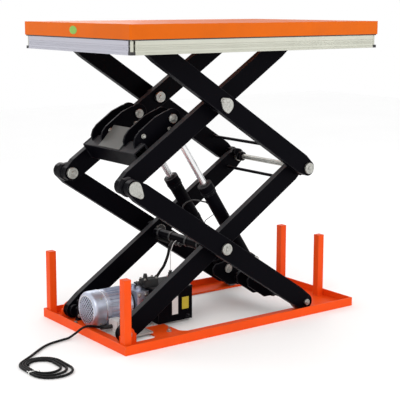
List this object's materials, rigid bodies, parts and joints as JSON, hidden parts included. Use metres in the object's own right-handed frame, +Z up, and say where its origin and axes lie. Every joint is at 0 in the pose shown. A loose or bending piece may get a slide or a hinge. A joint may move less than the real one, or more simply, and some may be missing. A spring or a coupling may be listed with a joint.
{
  "type": "double scissor lift table",
  "caption": "Electric hydraulic lift table: a flat platform on two stacked scissor stages over a low base frame that carries the power pack.",
  "frame": {"origin": "on the floor under the middle of the platform", "axes": "+X along the length, away from the arms' fixed pivots; +Y across the width; +Z up"},
  "size_m": [1.6955, 0.851, 1.308],
  "materials": {
    "orange_paint": "satin powder coat",
    "black_paint": "gloss enamel",
    "zinc_steel": "zinc plated",
    "roller_steel": "turned",
    "tray_steel": "satin",
    "cast_aluminium": "cast, satin",
    "grey_plastic": "satin",
    "black_plastic": "moulded",
    "red_plastic": "moulded",
    "cord_rubber": "extruded sheath",
    "white_plastic": "moulded",
    "chrome_rod": "ground and plated",
    "aluminium_section": "extruded, anodised"
  },
  "bodies": {
    "base": {"base_rail_near": "orange_paint", "base_rail_far": "orange_paint", "base_end_left": "orange_paint", "base_end_right": "orange_paint", "rest_posts": "orange_paint", "hinge_lugs": "orange_paint", "hinge_pins": "zinc_steel", "pack_tray": "tray_steel", "tray_bolts": "zinc_steel", "motor_body": "cast_aluminium", "motor_fan_cover": "cast_aluminium", "terminal_box": "grey_plastic", "pump_block": "cast_aluminium", "oil_tank": "black_paint", "filler_cap": "black_plastic", "solenoid_valve": "black_plastic", "cable_gland": "black_plastic", "power_cord": "cord_rubber", "cord_coil": "cord_rubber", "cord_tie": "white_plastic"},
    "motor_fan": {"motor_fan": "black_plastic"},
    "lowering_button": {"lowering_button": "red_plastic"},
    "lower_inner_arms": {"lower_inner_arm_near": "black_paint", "lower_inner_arm_far": "black_paint", "lower_inner_cross_tube": "black_paint", "mid_tie_tube": "zinc_steel", "inner_arm_pins": "zinc_steel"},
    "lower_outer_arms": {"lower_outer_arm_near": "black_paint", "lower_outer_arm_far": "black_paint", "lower_outer_cross_tube": "black_paint", "cylinder_foot_plates": "black_paint", "foot_pins": "zinc_steel", "left_mid_pins": "zinc_steel", "base_roller_axles": "zinc_steel"},
    "base_roller_near": {"base_roller_near": "roller_steel"},
    "base_roller_far": {"base_roller_far": "roller_steel"},
    "upper_inner_arms": {"upper_inner_arm_near": "black_paint", "upper_inner_arm_far": "black_paint", "cylinder_bracket_plates": "black_paint", "head_pins": "zinc_steel", "bracket_cross_member": "black_paint", "upper_inner_top_tube": "black_paint", "top_roller_axles": "zinc_steel"},
    "top_roller_near": {"top_roller_near": "roller_steel"},
    "top_roller_far": {"top_roller_far": "roller_steel"},
    "piston_rods": {"piston_rod_near": "chrome_rod", "piston_rod_far": "chrome_rod"},
    "cylinder_barrels": {"cylinder_barrel_near": "black_paint", "cylinder_barrel_far": "black_paint"},
    "upper_outer_arms": {"upper_outer_arm_near": "black_paint", "upper_outer_arm_far": "black_paint", "upper_outer_tie_rod": "black_paint", "upper_centre_pins": "zinc_steel"},
    "platform": {"platform_deck": "orange_paint", "deck_fittings": "orange_paint", "platform_hinge_pins": "zinc_steel"},
    "trip_frame": {"trip_frame_long": "aluminium_section", "trip_frame_short": "aluminium_section", "trip_corner_posts": "aluminium_section", "trip_corner_caps": "black_plastic"}
  },
  "joints": [
    {"name": "lift", "type": "hinge", "parent": "base", "child": "lower_inner_arms", "pos_m": [-0.555, 0, 0.05], "axis": [0, -1, 0], "range_deg": [-26.48, 16.52]},
    {"name": "lower_scissor", "type": "hinge", "parent": "lower_inner_arms", "child": "lower_outer_arms", "pos_m": [-0.09558, 0, 0.356], "axis": [0, -1, 0], "range_deg": [-33.09, 53.02]},
    {"name": "middle_hinge", "type": "hinge", "parent": "lower_outer_arms", "child": "upper_inner_arms", "pos_m": [-0.555, 0, 0.662], "axis": [0, -1, 0], "range_deg": [-53.02, 33.09]},
    {"name": "upper_scissor", "type": "hinge", "parent": "upper_inner_arms", "child": "upper_outer_arms", "pos_m": [-0.09558, 0, 0.968], "axis": [0, -1, 0], "range_deg": [-33.09, 53.02]},
    {"name": "platform_hinge", "type": "hinge", "parent": "upper_outer_arms", "child": "platform", "pos_m": [-0.555, 0, 1.274], "axis": [0, -1, 0], "range_deg": [-26.54, 16.57]},
    {"name": "cylinder_swing", "type": "hinge", "parent": "upper_inner_arms", "child": "piston_rods", "pos_m": [-0.31975, 0, 0.84629], "axis": [0, -1, 0], "range_deg": [-34.62, 55.48]},
    {"name": "cylinder_stroke", "type": "slide", "parent": "piston_rods", "child": "cylinder_barrels", "axis": [0.5454, 0, -0.8382], "range_m": [-0.28474, 0.17778]},
    {"name": "base_roller_near_spin", "type": "hinge", "parent": "lower_outer_arms", "child": "base_roller_near", "pos_m": [0.36384, -0.25, 0.05], "axis": [0, 1, 0], "continuous": true},
    {"name": "base_roller_far_spin", "type": "hinge", "parent": "lower_outer_arms", "child": "base_roller_far", "pos_m": [0.36384, 0.25, 0.05], "axis": [0, 1, 0], "continuous": true},
    {"name": "top_roller_near_spin", "type": "hinge", "parent": "upper_inner_arms", "child": "top_roller_near", "pos_m": [0.36384, -0.25, 1.274], "axis": [0, 1, 0], "continuous": true},
    {"name": "top_roller_far_spin", "type": "hinge", "parent": "upper_inner_arms", "child": "top_roller_far", "pos_m": [0.36384, 0.25, 1.274], "axis": [0, 1, 0], "continuous": true},
    {"name": "trip_frame_rise", "type": "slide", "parent": "platform", "child": "trip_frame", "axis": [0, 0, 1], "range_m": [0, 0.012], "stiffness_N_per_m": 1500, "springref_m": -0.01},
    {"name": "motor_spin", "type": "hinge", "parent": "base", "child": "motor_fan", "pos_m": [-0.5, 0.052, 0.089], "axis": [1, 0, 0], "continuous": true},
    {"name": "lowering_button_press", "type": "slide", "parent": "base", "child": "lowering_button", "axis": [0, 1, 0], "range_m": [0, 0.004], "stiffness_N_per_m": 400, "springref_m": -0.004}
  ],
  "couplings": [
    {"joint": "lower_scissor", "follows": "lift", "ratio": -2},
    {"joint": "middle_hinge", "follows": "lift", "ratio": 2},
    {"joint": "upper_scissor", "follows": "lift", "ratio": -2},
    {"joint": "platform_hinge", "follows": "lift", "ratio": 1},
    {"joint": "cylinder_swing", "follows": "lift", "ratio": -2.093},
    {"joint": "cylinder_stroke", "follows": "lift", "m_per_rad": 0.6149}
  ]
}
